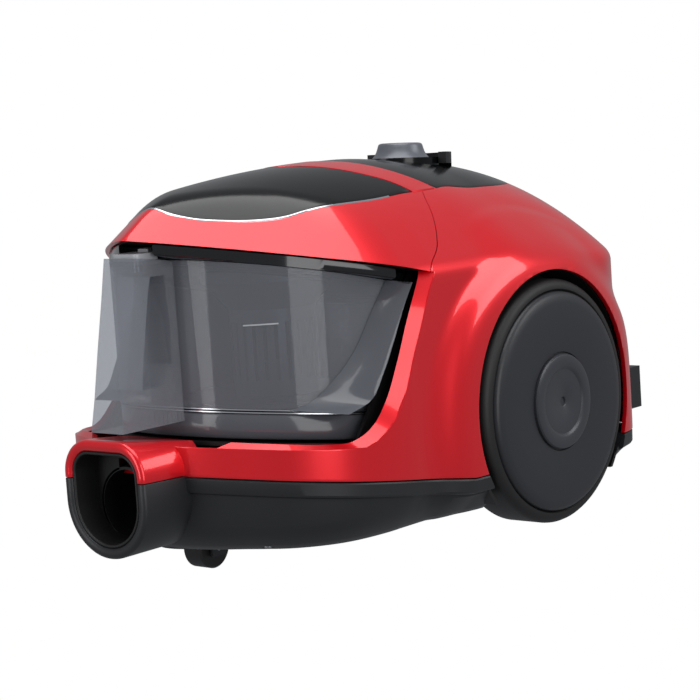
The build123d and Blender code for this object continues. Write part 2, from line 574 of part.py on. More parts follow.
def make_reel():
    low = REEL_Z - 14
    drum = cyl_z(REEL_R, low, low + 2, 0, REEL_Y) + cyl_z(REEL_R, low + 26, low + 28, 0, REEL_Y)
    drum += cyl_z(22, low, low + 28, 0, REEL_Y)
    drum -= cyl_z(19.5, low - 1, low + 25, 0, REEL_Y) + cyl_z(5.06, low, low + 40, 0, REEL_Y)
    keep("reel_drum", drum)
    frame = block(-48, 48, 66, 160, low - 5, low - 2) - cyl_z(5, 0, 300, 0, REEL_Y)
    keep("reel_frame", frame)
    keep("reel_spindle", cyl_z(5, low - 5, low + 32, 0, REEL_Y))
    spring = cyl_z(18, low + 6, low + 18, 0, REEL_Y) - cyl_z(8, low, low + 30, 0, REEL_Y)
    for r in (10.5, 13, 15.5):
        spring -= cyl_z(r + 0.8, low + 7, low + 30, 0, REEL_Y) - cyl_z(r - 0.8, low, low + 30, 0, REEL_Y)
    keep("reel_spring", spring)
    board = block(-36, 36, 16, 52, 188, 189.6)
    for x, y, w, h in ((-20, 26, 6, 9), (4, 30, 9, 12), (22, 40, 5, 7)):
        board += block(x - w, x + w, y - 5, y + 5, 189.6, 189.6 + h)
    keep("circuit_board", board)


def make_small():
    ring = cyl_y(CORD_R - 0.1, 184, 197, CORD_X, CORD_Z)
    keep("cord_outlet_bush", ring - cyl_y(4, 180, 210, CORD_X, CORD_Z))
    foot = block(98, 112, 182, 198.4, 53, 81) - body_out
    keep("rear_stand_feet", foot, mirror_x(foot))


make_hood()
make_handle()
make_main()
make_inlet()
make_base()
make_bay()
make_bin()
make_cyclone()
make_grip()
AXLES, WELLS = [], []
make_wheel(1)
make_wheel(-1)
keep("wheel_axles", *AXLES)
keep("wheel_wells", *WELLS)
make_castor()
make_controls()
make_motor()
make_reel()
make_small()

os.makedirs("parts", exist_ok=True)
for name, shape in OUT.items():
    export_step(shape, f"parts/{name}.step")
print(len(OUT), "nodes")
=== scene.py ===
import json
import bpy
import bmesh
import numpy as np
from math import atan, cos, pi, radians, sin, sqrt
from mathutils import Matrix, Vector


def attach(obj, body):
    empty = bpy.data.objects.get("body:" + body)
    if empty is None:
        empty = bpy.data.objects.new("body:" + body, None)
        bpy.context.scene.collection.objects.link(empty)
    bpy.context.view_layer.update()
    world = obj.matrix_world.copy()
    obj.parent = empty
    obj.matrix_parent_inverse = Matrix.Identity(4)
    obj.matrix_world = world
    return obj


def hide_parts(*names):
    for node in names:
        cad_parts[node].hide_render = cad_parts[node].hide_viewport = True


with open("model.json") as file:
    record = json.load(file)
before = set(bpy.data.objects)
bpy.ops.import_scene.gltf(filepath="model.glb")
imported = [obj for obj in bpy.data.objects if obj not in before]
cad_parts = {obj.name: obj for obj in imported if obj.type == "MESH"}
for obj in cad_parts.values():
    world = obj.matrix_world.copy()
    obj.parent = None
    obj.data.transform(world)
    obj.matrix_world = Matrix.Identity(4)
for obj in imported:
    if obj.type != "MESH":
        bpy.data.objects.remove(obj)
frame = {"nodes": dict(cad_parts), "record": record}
bpy.context.view_layer.update()
MM = 0.001

# The driving sizes of the cleaner, in millimetres, as in the part's source.
HALF_L = 199.5
AXLE_Y, AXLE_Z = 70.5, 77.0
WELL_R, WELL_X = 83.0, 98.8
CREST_Y, CREST_Z, CROWN, NOSE_DROP = 15.0, 236.0, 260.0, 5.8e-4
TAIL_LEN, TAIL_Z, TAIL_POWER = 186.0, 150.0, 2.8
BRIM_SLOPE, BRIM_Z0 = 0.237, 161.335
BAY_SLOPE, BAY_Z0 = 0.131, 63.5
NOSE_R, NOSE_Y, FLARE = 113.0, -57.0, 0.9
BIN_R, BIN_Y = 98.0, -46.0
COLLAR_HALF_W, COLLAR_TOP, COLLAR_ROUND_Z = 32.8, 90.0, 54.3
INLET_Z, INLET_R = 50.0, 20.5
KNOB_Y, KNOB_Z, KNOB_TILT = 92.0, 231.5, 3.0
# wall of the red shell, dip of the crest behind its top, power of the nose's rounded corners
SHELL, REAR_DIP, BOW = 2.6, 2.8, 1.25
# outer end of the wheel wells' cut, and the heights between which the top is cut open
WELL_OUT, TOP_CUT = 170, (190, 260)
# depth of the black panels and of the handle band below the skin
PANEL_DEPTH, BAND_DEPTH = 2.0, 6.0
KNOB_WELL_R = 27.4
# legs under the handle band: from, to
LEG_X, LEG_Y, LEG_Z = (59.5, 64.0), (8, 19), (170, 217)
CASTOR_Y, CASTOR_HOLE_R = -128, 24
SCREWS = ((-62, -132), (62, -132), (-74, -60), (74, -60), (-62, 160), (62, 160))
SCREW_HOLE_R = 3.4
CORD_X, CORD_Z, CORD_HOLE_R = -84, 66, 7
GRILLE_WINDOW = [(-62, 60), (62, 60), (62, 132), (-62, 132)]
DUCT_Y, DUCT_HOLE_R = -92, 11.2
FILL_MARK_Z = 148.0


# ------------------------------------------------------------------ mesh help

def mesh_piece(name, points, faces, smooth=True):
    """A mesh object from millimetre points, doubles merged and faces turned outwards."""
    mesh = bpy.data.meshes.new(name)
    mesh.from_pydata([tuple(p) for p in np.asarray(points, float) * MM], [], faces)
    piece = bpy.data.objects.new(name, mesh)
    bpy.context.scene.collection.objects.link(piece)
    tidy_mesh(piece, smooth)
    return piece


def tidy_mesh(piece, smooth=True, merge=0.00002):
    """Doubles merged, slivers dissolved and faces turned outwards."""
    b = bmesh.new()
    b.from_mesh(piece.data)
    bmesh.ops.remove_doubles(b, verts=b.verts, dist=merge)
    bmesh.ops.dissolve_degenerate(b, edges=b.edges, dist=1e-6)
    bmesh.ops.recalc_face_normals(b, faces=b.faces)
    b.to_mesh(piece.data)
    b.free()
    if smooth:
        piece.data.shade_smooth()


def loop_faces(rows, columns):
    """Quads between closed rings of points."""
    faces = []
    for i in range(rows - 1):
        for j in range(columns):
            a, b = i * columns + j, i * columns + (j + 1) % columns
            faces.append((a, b, b + columns, a + columns))
    return faces


def ring_stack(name, rings, cap_start=True, cap_end=True, smooth=True):
    """Closed skin through a list of rings that have the same number of points."""
    n = len(rings[0])
    faces = loop_faces(len(rings), n)
    if cap_start:
        faces.append(tuple(range(n))[::-1])
    if cap_end:
        faces.append(tuple(range((len(rings) - 1) * n, len(rings) * n)))
    return mesh_piece(name, np.concatenate(rings), faces, smooth)


def torus_stack(name, rings):
    """Closed skin through rings whose last ring joins the first."""
    return ring_stack(name, list(rings) + [rings[0]], False, False)


def strip_stack(name, strips):
    """Closed skin through open strips that lie round the section, with flat ends."""
    return ring_stack(name, [np.array([strip[i] for strip in strips]) for i in range(len(strips[0]))])


def applied(piece):
    """The piece with its modifiers made real."""
    graph = bpy.context.evaluated_depsgraph_get()
    graph.update()
    done = bpy.data.meshes.new_from_object(piece.evaluated_get(graph))
    piece.modifiers.clear()
    old = piece.data
    piece.data = done
    done.name = piece.name
    bpy.data.meshes.remove(old)
    return piece


def volume(piece):
    """Volume of a closed mesh, in cubic metres."""
    b = bmesh.new()
    b.from_mesh(piece.data)
    size = abs(b.calc_volume())
    b.free()
    return size


def combine(piece, other, how="DIFFERENCE"):
    """Cut, join or intersect a piece with another closed mesh, and try again if that comes out empty."""
    before, kept = volume(piece), piece.data.copy()
    for attempt in range(6):
        if attempt:
            piece.data = kept.copy()
            tidy_mesh(piece, False, 0.00002 * attempt)
            other.data.transform(Matrix.Translation(Vector((0.7, -0.5, 0.6)) * 0.00003 * attempt))
        mod = piece.modifiers.new("cut", "BOOLEAN")
        mod.operation, mod.solver, mod.object, mod.use_self = how, "EXACT", other, attempt == 5
        applied(piece)
        if volume(piece) > 0.08 * before:
            break
    bpy.data.objects.remove(other)
    return piece


def copy_of(piece, name):
    """A second piece with its own mesh."""
    twin = piece.copy()
    twin.data = piece.data.copy()
    twin.name = name
    bpy.context.scene.collection.objects.link(twin)
    return twin


def soften(piece, width=0.6, segments=2, angle=32):
    """Rounded edges and even shading."""
    mod = piece.modifiers.new("edge", "BEVEL")
    mod.width, mod.segments, mod.limit_method = width * MM, segments, "ANGLE"
    mod.angle_limit, mod.harden_normals, mod.miter_outer = radians(angle), False, "MITER_ARC"
    mod.use_clamp_overlap = True
    applied(piece)
    return shade(piece)


def shade(piece, angle=30):
    """Smooth shading with sharp edges past the angle."""
    piece.data.shade_smooth()
    piece.data.set_sharp_from_angle(angle=radians(angle))
    return piece


def prism(name, outline, axis, low, high):
    """Closed prism of a flat outline along X, Y or Z. outline holds the other two coordinates."""
    rings = []
    for level in (low, high):
        ring = np.insert(np.asarray(outline, float), "XYZ".index(axis), level, axis=1)
        rings.append(ring)
    return ring_stack(name, rings, smooth=False)


def lathe(name, profile, centre, axis="X", steps=128, tilt=0.0):
    """Solid of revolution of (along, radius) points: a closed outline, or a line from axis to axis."""
    angles = np.linspace(0, 2 * pi, steps, endpoint=False)
    rings = []
    for along, radius in profile:
        c, s = np.cos(angles) * radius, np.sin(angles) * radius
        a = np.full(steps, float(along))
        rings.append(np.stack({"X": (a, c, s), "Y": (c, a, s), "Z": (c, s, a)}[axis], 1))
    rings = np.array(rings)
    if tilt:
        t = radians(-tilt)
        y, z = rings[..., 1].copy(), rings[..., 2].copy()
        rings[..., 1], rings[..., 2] = y * cos(t) - z * sin(t), y * sin(t) + z * cos(t)
    rings = rings + np.asarray(centre, float)
    if profile[0][1] == 0:
        return ring_stack(name, list(rings), False, False)
    return torus_stack(name, list(rings))


def plug(name, low, high, radius, centre, axis, steps, tilt=0.0):
    """Solid cylinder between two levels along an axis, for cutting a round hole."""
    return lathe(name, [(low, 0), (low, radius), (high, radius), (high, 0)], centre, axis, steps, tilt)


def curve_at(xs, ys, x):
    """Smooth curve through a few points (Catmull-Rom slopes)."""
    xs, ys = np.asarray(xs, float), np.asarray(ys, float)
    slope = np.gradient(ys, xs)
    x = np.clip(x, xs[0], xs[-1])
    i = np.clip(np.searchsorted(xs, x) - 1, 0, len(xs) - 2)
    h = xs[i + 1] - xs[i]
    t = (x - xs[i]) / h
    a, b = 2 * t ** 3 - 3 * t ** 2 + 1, t ** 3 - 2 * t ** 2 + t
    c, d = -2 * t ** 3 + 3 * t ** 2, t ** 3 - t ** 2
    return a * ys[i] + b * h * slope[i] + c * ys[i + 1] + d * h * slope[i + 1]


def smooth_path(points, count):
    """Points spread evenly along a smooth curve through the given ones."""
    p = np.asarray(points, float)
    run = np.concatenate([[0], np.cumsum(np.linalg.norm(np.diff(p, axis=0), axis=1))])
    at = np.linspace(0, run[-1], count)
    return np.stack([curve_at(run, p[:, k], at) for k in range(p.shape[1])], 1)


def mirrored(half):
    """Closed plan outline from its right half, whose first and last points lie on the middle line."""
    half = np.asarray(half, float)
    left = half[::-1][1:-1] * np.array([-1, 1])
    return np.concatenate([half, left])


# ---------------------------------------------------------------- body skin

def crest(y):
    """Height of the top line over the middle."""
    y = np.asarray(y, float)
    front = CREST_Z - NOSE_DROP * (y - CREST_Y) ** 2
    run = np.clip((y - CREST_Y) / TAIL_LEN, 0, 0.999) ** TAIL_POWER
    rear = TAIL_Z + (CREST_Z - TAIL_Z) * (1 - run) ** (1 / TAIL_POWER)
    dip = np.clip((y - 25) / 55, 0, 1)
    return np.where(y < CREST_Y, front, rear - REAR_DIP * dip * dip * (3 - 2 * dip))


def top_z(x, y):
    """Height of the crowned top."""
    return crest(y) - np.asarray(x, float) ** 2 / CROWN


def brim_z(y):
    """Height of the hood's lower edge, over the bin."""
    return BRIM_Z0 - BRIM_SLOPE * np.asarray(y, float)


def bay_z(y):
    """Height of the sloped floor under the bin."""
    return BAY_Z0 - BAY_SLOPE * np.asarray(y, float)


def seam_z(y):
    """Height of the seam between the red body and the tub."""
    return np.interp(y, [-240, -166, -17, 240], [71, 66, 44, 44])


def smooth_max(a, b, blend):
    """The larger of two, with the corner rounded over blend."""
    h = np.maximum(blend - np.abs(a - b), 0) / blend
    return np.maximum(a, b) + h * h * blend / 4


def smooth_min(a, b, blend):
    return -smooth_max(-a, -b, blend)


# ends of the spine that the plan is measured from, and (angle, distance) from each of them
FRONT_SPINE, REAR_SPINE = -57.0, 92.0
ARCH_HALF_W = 131.2
PLAN_FRONT = ([0, 17, 32, 50, 64, 79, 90], [115, 114, 114, 120.5, 122.5, 120.5, 119.5])
PLAN_REAR = ([0, 23, 38, 50, 62, 76, 90], [107.5, 116, 129, 136, 134, 126, 121])
WIDE_REAR = ([0, 23, 38, 50, 62, 76, 90], [107.5, 116, 131, 142, 145, 137, 131.2])


def plan_reach(x, y, rear):
    """Distance outside the plan outline."""
    x = np.abs(x)
    front_a = np.degrees(np.arctan2(x, np.maximum(FRONT_SPINE - y, 0)))
    rear_a = np.degrees(np.arctan2(x, np.maximum(y - REAR_SPINE, 0)))
    wide = rear is WIDE_REAR
    ends = [ARCH_HALF_W, ARCH_HALF_W] if wide else [119.5, 121.0]
    middle = np.interp(y, [FRONT_SPINE, REAR_SPINE], ends)
    front = np.hypot(x, FRONT_SPINE - y) - (ARCH_HALF_W if wide else curve_at(*PLAN_FRONT, front_a))
    back = np.hypot(x, y - REAR_SPINE) - curve_at(*rear, rear_a)
    return np.where(y < FRONT_SPINE, front, np.where(y > REAR_SPINE, back, x - middle))


# half width of the hood along its brim
BRIM_WIDTH = ([-86, -70, -55, -40, 3, 46, 101, 160, 260],
              [109.2, 114, 117.5, 120.6, 130, 140, 148, 153, 156])


def flare_reach(x, y, z):
    """Distance outside the flared side of the hood."""
    tilt = atan(BRIM_SLOPE)
    z0 = brim_z(NOSE_Y)
    along = ((y - NOSE_Y) * cos(tilt) - (z - z0) * sin(tilt)) * cos(tilt)
    height = (y - NOSE_Y) * sin(tilt) + (z - z0) * cos(tilt)
    x = np.abs(x)
    plan_y = along + NOSE_Y
    front = (x ** BOW + np.maximum(-along, 0) ** BOW) ** (1 / BOW) - NOSE_R
    side = x - curve_at(*BRIM_WIDTH, plan_y)
    share = np.clip((plan_y + 102) / 72, 0, 1)
    share = share * share * (3 - 2 * share)
    return (front * (1 - share) + side * share + FLARE * height) / sqrt(1 + FLARE ** 2)


# (turn round the axle, half width) of the arch's root, and how far its face bulges
VALLEY_X = ([-90, -30, 0, 45, 90, 118, 145, 180, 230], [124, 119, 113, 104, 101.5, 105, 113.5, 117.5, 121])
BULGE = ([-90, 0, 90, 150, 180, 230], [3, 4, 5.5, 4.5, 3.0, 2])
# the arch's root and outer radius round the axle, and the half width of its face at the well
ARCH_ROOT_R, ARCH_R, ARCH_FACE_X = 117.5, 121.0, 131


def fender_reach(x, y, z):
    """Distance outside the flared wheel arch."""
    r = np.hypot(y - AXLE_Y, z - AXLE_Z)
    turn = np.degrees(np.arctan2(z - AXLE_Z, y - AXLE_Y))
    turn = np.where(turn < -90, turn + 360, turn)
    root = curve_at(*VALLEY_X, turn)
    share = (ARCH_ROOT_R - r) / (ARCH_ROOT_R - WELL_R)
    face = root + (ARCH_FACE_X - root) * share + curve_at(*BULGE, turn) * np.sin(pi * np.clip(share, 0, 1))
    return smooth_max((np.abs(x) - face) / 1.25, r - ARCH_R, 4.0)


def body_reach(x, y, z):
    """Below zero inside the red body, above zero outside."""
    top = z - top_z(x, y)
    hood = smooth_max(top, flare_reach(x, y, z), 7.0)
    hull = smooth_max(hood, plan_reach(x, y, PLAN_REAR), 4.0)
    arch = smooth_max(top, smooth_max(fender_reach(x, y, z), plan_reach(x, y, WIDE_REAR), 5.0), 6.0)
    return smooth_min(hull, arch, 5.0)


def spine_rays(front_steps=56, side_steps=76):
    """Stations all round the body: spine y and outward direction."""
    turn = np.linspace(0, pi / 2, front_steps, endpoint=False)
    ys = [np.full(front_steps, FRONT_SPINE)]
    dirs = [np.stack([np.sin(turn), -np.cos(turn)], 1)]
    mid = np.linspace(FRONT_SPINE, REAR_SPINE, side_steps, endpoint=False)
    ys.append(mid)
    dirs.append(np.tile([1.0, 0.0], (side_steps, 1)))
    turn = np.linspace(0, pi / 2, front_steps + 1)
    ys.append(np.full(front_steps + 1, REAR_SPINE))
    dirs.append(np.stack([np.cos(turn), np.sin(turn)], 1))
    spine, out = np.concatenate(ys), np.concatenate(dirs)
    left = slice(-2, 0, -1)
    return np.concatenate([spine, spine[left]]), np.concatenate([out, out[left] * np.array([-1, 1])])


def skin_rings(inset, rows=132):
    """Rings of the body skin moved in by inset, from the seam up to the top line."""
    spine, out = spine_rays()
    lift = np.linspace(0, pi / 2, rows)
    a, s = np.meshgrid(lift, np.arange(len(spine)), indexing="ij")
    dx, dy, dz = out[s, 0] * np.cos(a), out[s, 1] * np.cos(a), np.sin(a)
    low, high = np.zeros_like(a), np.full_like(a, 300.0)
    for _ in range(34):
        mid = (low + high) / 2
        y = spine[s] + dy * mid
        inside = body_reach(dx * mid, y, seam_z(y) + dz * mid) + inset < 0
        low, high = np.where(inside, mid, low), np.where(inside, high, mid)
    x, y = dx * low, spine[s] + dy * low
    z = seam_z(y) + dz * low
    return list(np.stack([x, y, z], 2))


def body_shell(name, thick):
    """Closed shell between the outer skin and the skin moved in by thick."""
    return ring_stack(name, skin_rings(thick)[::-1] + skin_rings(0.0), False, False)


# ------------------------------------------------------------------ materials

def hex_colour(text):
    """Linear colour of an sRGB hex."""
    parts = [int(text[i:i + 2], 16) / 255 for i in (1, 3, 5)]
    return tuple(c / 12.92 if c <= 0.04045 else ((c + 0.055) / 1.055) ** 2.4 for c in parts) + (1.0,)


def add(tree, kind, links=(), **values):
    """A node with its values set and its inputs linked as (input name, from socket)."""
    node = tree.nodes.new(kind)
    for key, value in values.items():
        if hasattr(node, key) and key not in node.inputs:
            setattr(node, key, value)
        else:
            node.inputs[key.replace("_", " ")].default_value = value
    for name, socket in links:
        tree.links.new(node.inputs[name], socket)
    return node


def make_material(name, colour, rough=0.4, metal=0.0, coat=0.0, coat_rough=0.03, specular=0.5):
    """Plain plastic, paint, rubber or metal."""
    m = bpy.data.materials.new(name)
    m.use_nodes = True
    shader = m.node_tree.nodes["Principled BSDF"]
    for key, value in (("Base Color", hex_colour(colour)), ("Roughness", rough), ("Metallic", metal),
                       ("Coat Weight", coat), ("Coat Roughness", coat_rough), ("IOR", 1.5),
                       ("Specular IOR Level", specular)):
        shader.inputs[key].default_value = value
    m.diffuse_color = hex_colour(colour)
    return m


def make_smoked(name, tint, haze, colour, rough=0.05):
    """Thin smoked plastic: mostly see-through, with a grey haze and sharp reflections."""
    m = make_material(name, colour, rough, 0.0, 0.6, 0.02)
    tree = m.node_tree
    shader = tree.nodes["Principled BSDF"]
    clear = add(tree, "ShaderNodeBsdfTransparent", Color=hex_colour(tint))
    edge = add(tree, "ShaderNodeLayerWeight", Blend=0.35)
    amount = add(tree, "ShaderNodeMapRange", [("Value", edge.outputs["Facing"])],
                 To_Min=haze, To_Max=min(1.0, haze + 0.45))
    mix = add(tree, "ShaderNodeMixShader", [("Fac", amount.outputs["Result"])])
    tree.links.new(mix.inputs[1], clear.outputs[0])
    tree.links.new(mix.inputs[2], shader.outputs[0])
    tree.links.new(tree.nodes["Material Output"].inputs["Surface"], mix.outputs[0])
    return m


def grained(material, scale, strength, depth=0.00004):
    """Moulded grain on a material: scale is grains to the metre, coarser than real so that it shows."""
    tree = material.node_tree
    shader = tree.nodes["Principled BSDF"]
    where = add(tree, "ShaderNodeTexCoord")
    noise = add(tree, "ShaderNodeTexNoise", [("Vector", where.outputs["Object"])], Scale=scale, Detail=3.0)
    bump = add(tree, "ShaderNodeBump", [("Height", noise.outputs["Fac"])], Strength=strength, Distance=depth)
    tree.links.new(shader.inputs["Normal"], bump.outputs["Normal"])
    return material


# ABS sprayed with metallic lacquer: broad soft highlights under a clear coat, on the hood, body and collar
RED = make_material("red metallic lacquer", "#E4061A", 0.33, 0.5, 0.7, 0.06)
# the same red, darker and flatter: painted shade for the handle's legs, which sit in the shadow under the
# band
RED_SHADE_UNDER_BAND = make_material("red with painted shade under band", "#A80616", 0.38, 0.35, 0.4, 0.1)
# polished black ABS: nearly a mirror at a low angle, on the two top panels
BLACK_GLOSS = make_material("piano black panel", "#050607", 0.16, 0.0, 0.0, 0.02, specular=0.35)
# spark-eroded polypropylene: an even charcoal sheen with a grain of about 1.1 mm, on the tub and collar
CHARCOAL = grained(make_material("charcoal satin moulding", "#1B1C1F", 0.46), 900, 0.25)
# plain black moulding: lets the inlet, the wells and the bay fall into shade
INNER_BLACK = make_material("black inner moulding", "#0C0C0E", 0.5)
# graphite ABS with a grain of about 0.8 mm: a soft spot of light on the wheel discs
GRAPHITE = grained(make_material("graphite wheel disc", "#2A2B2F", 0.42, 0.15), 1200, 0.2)
# the same plastic, smoother and a touch lighter, on the hubs
HUB_GREY = make_material("hub grey", "#3A3B40", 0.36, 0.2)
# moulded rubber: black and nearly without shine
RUBBER = make_material("tyre rubber", "#0D0D0E", 0.55)
# satin painted ABS: mid grey with a rounded highlight, on the knob
KNOB_GREY = make_material("knob satin grey", "#62646C", 0.34, 0.2)
# pale grey ABS: the grip's button and the fill mark
PALE_GREY = make_material("pale grey button", "#A9ABAF", 0.4, 0.1)
# smoked polycarbonate: mostly see-through, greyer at its edges, on the cup
SMOKED = make_smoked("smoked clear bin", "#E0E1E5", 0.20, "#A9ACB3")
# the same, frosted: hides most of what is behind it, on the base ring and wings
SMOKED_BASE = make_smoked("smoked frosted ring", "#9A9CA2", 0.55, "#6C6F76", 0.16)
# the same, a little paler, on the grip in front of the bin
SMOKED_GRIP = make_smoked("smoked grip", "#DADCE0", 0.26, "#A4A7AE", 0.05)
# dark polished ABS: a thin bright reflection along the lid's strip
LID_DARK = make_material("bin lid dark gloss", "#15171A", 0.12, 0.3, 0.5, 0.03)
# chromed plastic: bright thin lines
SILVER = make_material("silver trim", "#C9CBD0", 0.18, 0.9)
# drawn steel of axles and screws
STEEL = make_material("plain steel", "#8E9094", 0.28, 1.0)
# enamelled copper wire, seen only with the shell off
COPPER = make_material("copper winding", "#B4622F", 0.35, 1.0)
# open-cell foam: matt, with pores of about 2 mm
FOAM = grained(make_material("filter foam", "#2B3036", 0.9), 500, 0.8, 0.0004)
# pleated filter paper: warm white and matt
PAPER = make_material("pleated filter paper", "#D9D7CE", 0.8)
# solder mask on the circuit board
BOARD = make_material("circuit board green", "#1C4A2E", 0.45)

SLOT_LOOK = {"red_shell": RED, "black_gloss": BLACK_GLOSS, "dark_satin": CHARCOAL, "black_inner": INNER_BLACK,
             "smoked_clear": SMOKED, "grey_satin": KNOB_GREY, "light_grey": PALE_GREY, "tyre_rubber": RUBBER,
             "steel": STEEL, "copper_wound": COPPER, "iron_core": STEEL, "cast_alloy": STEEL,
             "filter_foam": FOAM, "filter_paper": PAPER, "board_green": BOARD}


def dress(piece, material, body, replaces=()):
    """Material, body and CAD nodes that the piece stands for."""
    piece.data.materials.clear()
    piece.data.materials.append(material)
    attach(piece, body)
    if replaces:
        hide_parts(*replaces)
    return piece


def dress_cad_nodes():
    """Materials for the CAD nodes that stay in view."""
    slots = {part["node"]: part["material_slot"] for part in frame["record"]["subparts"]}
    for name, node in frame["nodes"].items():
        node.data.materials.clear()
        node.data.materials.append(SLOT_LOOK[slots[name]])


# --------------------------------------------------------------------- shell

# (y, z) side view of the shell's edge at the bin, and of the gap between its lip and the bin
CREASE = [(-240, 92.7), (-158, 82), (-139, 79.5), (-122, 77.5), (-100, 76), (-92, 78.5), (-85, 83),
          (-77, 89.5), (-67, 104), (-60, 120), (-51, 137), (-40, 159.5), (-34, brim_z(-34))]
GAP_EDGE = [(-158, 84.6), (-139, 82), (-122, 80), (-104, 79.5), (-95, 82.5), (-87, 88), (-78, 99), (-66, 121),
            (-55, 143), (-44, 163), (-40, brim_z(-40))]
# (x, y) plan of the panels, the handle band between them, and the seam behind the hood
PANEL_NOSE = [(0, -144), (12, -142.5), (25, -136.5)]
PANEL_SIDE = [(38, -126), (50, -113), (60, -98), (66, -84), (71.5, -64), (74.8, -34.5), (73.9, 2)]
BAND_FRONT = [(0, -31), (9.8, -27.7), (28, -18), (45, -8), (62, 3), (74, 8)]
BAND_REAR = [(0, 1.5), (13.7, 2.9), (34, 7.8), (52, 14.5), (64, 24), (73, 31)]
REAR_SIDE = [(73, 33.5), (71.9, 39), (70.9, 72), (63.9, 115), (57, 132), (47, 143), (30, 148), (0, 149.5)]
COVER_SEAM = [(66, 25.5), (79, 13), (92, 3), (108, -15), (121, -40), (150, -62)]


def skin_z(x, y):
    """Height of the outer skin above each plan point."""
    x, y = np.asarray(x, float), np.asarray(y, float)
    low, high = np.full_like(x, 120.0), np.full_like(x, 250.0)
    for _ in range(28):
        mid = (low + high) / 2
        inside = body_reach(x, y, mid) < 0
        low, high = np.where(inside, mid, low), np.where(inside, high, mid)
    return low


def under_skin(name, outline, depth, above=0.0, rows=26):
    """Closed slab under a closed plan loop, from above the crowned top down to depth below it."""
    outline = np.asarray(outline, float)
    centre = outline.mean(0)
    rings = []
    for lift, order in ((above, 1), (-depth, -1)):
        for share in np.linspace(0.0, 1.0, rows)[::order]:
            p = centre + (outline - centre) * share
            rings.append(np.column_stack([p, skin_z(p[:, 0], p[:, 1]) + lift]))
    return torus_stack(name, rings)


def grown(outline, amount):
    """Closed plan loop moved outwards."""
    p = np.asarray(outline, float)
    t = np.roll(p, -1, 0) - np.roll(p, 1, 0)
    n = np.column_stack([t[:, 1], -t[:, 0]]) / np.linalg.norm(t, axis=1)[:, None]
    area = np.sum(p[:, 0] * np.roll(p[:, 1], -1) - np.roll(p[:, 0], -1) * p[:, 1])
    return p + n * amount * (1 if area > 0 else -1)


def plan_loop(first, second):
    """Closed plan loop from the two curves that make its right half."""
    half = np.concatenate([first, second])
    half[0, 0] = half[-1, 0] = 0.0
    return mirrored(half)


def front_panel_loop():
    return plan_loop(smooth_path(PANEL_NOSE + PANEL_SIDE, 80)[:-1], smooth_path(BAND_FRONT, 30)[::-1])


def rear_panel_loop():
    return plan_loop((smooth_path(BAND_REAR, 30) + np.array([0, 2.2]))[:-1], smooth_path(REAR_SIDE, 70))


def band_loop():
    return plan_loop(smooth_path(BAND_FRONT, 36), smooth_path(BAND_REAR, 36)[::-1])


def cut_wheel_wells(piece):
    """Round wells on both sides for the wheels."""
    for sign in (-1, 1):
        x0, x1 = sorted((sign * WELL_X, sign * WELL_OUT))
        combine(piece, plug("well", x0, x1, WELL_R, (0, AXLE_Y, AXLE_Z), "X", 160))


def make_red_shell():
    """Hood cover and main body from one skin, with every opening cut."""
    shell = body_shell("main_body_shell", SHELL)
    combine(shell, prism("bay_cut", CREASE + [(-240, brim_z(-240))], "X", -200, 200))
    cut_wheel_wells(shell)
    openings = (("front_pocket", front_panel_loop(), 0.35), ("rear_pocket", rear_panel_loop(), 0.35),
                ("band_well", band_loop(), 1.0))
    for name, loop, gap in openings:
        combine(shell, prism(name, grown(loop, gap), "Z", *TOP_CUT))
    combine(shell, prism("grille_window", GRILLE_WINDOW, "Y", 180, 230))
    combine(shell, plug("cord_hole", 180, 230, CORD_HOLE_R, (CORD_X, 0, CORD_Z), "Y", 48))
    seam = smooth_path(COVER_SEAM, 40)
    plan = mirrored(np.concatenate([[(0, -4)], seam, [(150, -260), (0, -260)]]))
    zone = prism("zone", plan, "Z", 60, 300)
    tight = prism("zone_wide", grown(plan, 0.45), "Z", 60, 300)
    for piece, drop in ((zone, 0.0), (tight, 0.45)):
        high = [(-300, brim_z(-300) - drop), (200, brim_z(200) - drop), (200, 400), (-300, 400)]
        combine(piece, prism("above_brim", high, "X", -220, 220), "INTERSECT")
    hood = combine(copy_of(shell, "hood_cover"), zone, "INTERSECT")
    combine(shell, tight)
    return hood, shell


def skin_x(y, z):
    """Half width of the outer skin at a side point."""
    low, high = 20.0, 150.0
    for _ in range(30):
        mid = (low + high) / 2
        if body_reach(np.array([mid]), np.array([float(y)]), np.array([float(z)]))[0] < 0:
            low = mid
        else:
            high = mid
    return low


def make_bay_lip():
    """Red edge that turns in from the shell's crease to the gap round the bin."""
    outer, inner = smooth_path(CREASE[1:], 120), smooth_path(GAP_EDGE, 120)
    pieces = []
    for sign in (1, -1):
        sections = []
        for (yo, zo), (yi, zi) in zip(outer, inner):
            xo = skin_x(yo, zo) - 0.5
            share = np.clip((yo + 158) / 60, 0, 1)
            yi = yi + 6 * (1 - share)
            xi = skin_x(yi, zi) - 6.5
            ring = [(xo, yo, zo), (xi, yi, zi), (xi - 2, yi + 2, zi - 2), (xo - 2.2, yo + 2.5, zo - 2.5)]
            sections.append(np.array(ring) * np.array([sign, 1, 1]))
        pieces.append(ring_stack("bay_lip_" + ("right" if sign > 0 else "left"), sections))
    return pieces


# ------------------------------------------------------------------- collar

def collar_outline(grow, steps=20):
    """Upright outline of the inlet collar as (x, z) points."""
    w, top, r = COLLAR_HALF_W + grow, COLLAR_TOP + grow, 20 + grow
    a = np.linspace(0, pi, steps * 2)
    low = np.column_stack([w * np.cos(a), COLLAR_ROUND_Z - w * np.sin(a)])
    b = np.linspace(pi, pi / 2, steps)
    left = np.column_stack([-w + r + r * np.cos(b), top - r + r * np.sin(b)])
    right = left[::-1] * np.array([-1, 1])
    return np.concatenate([low, left, right])


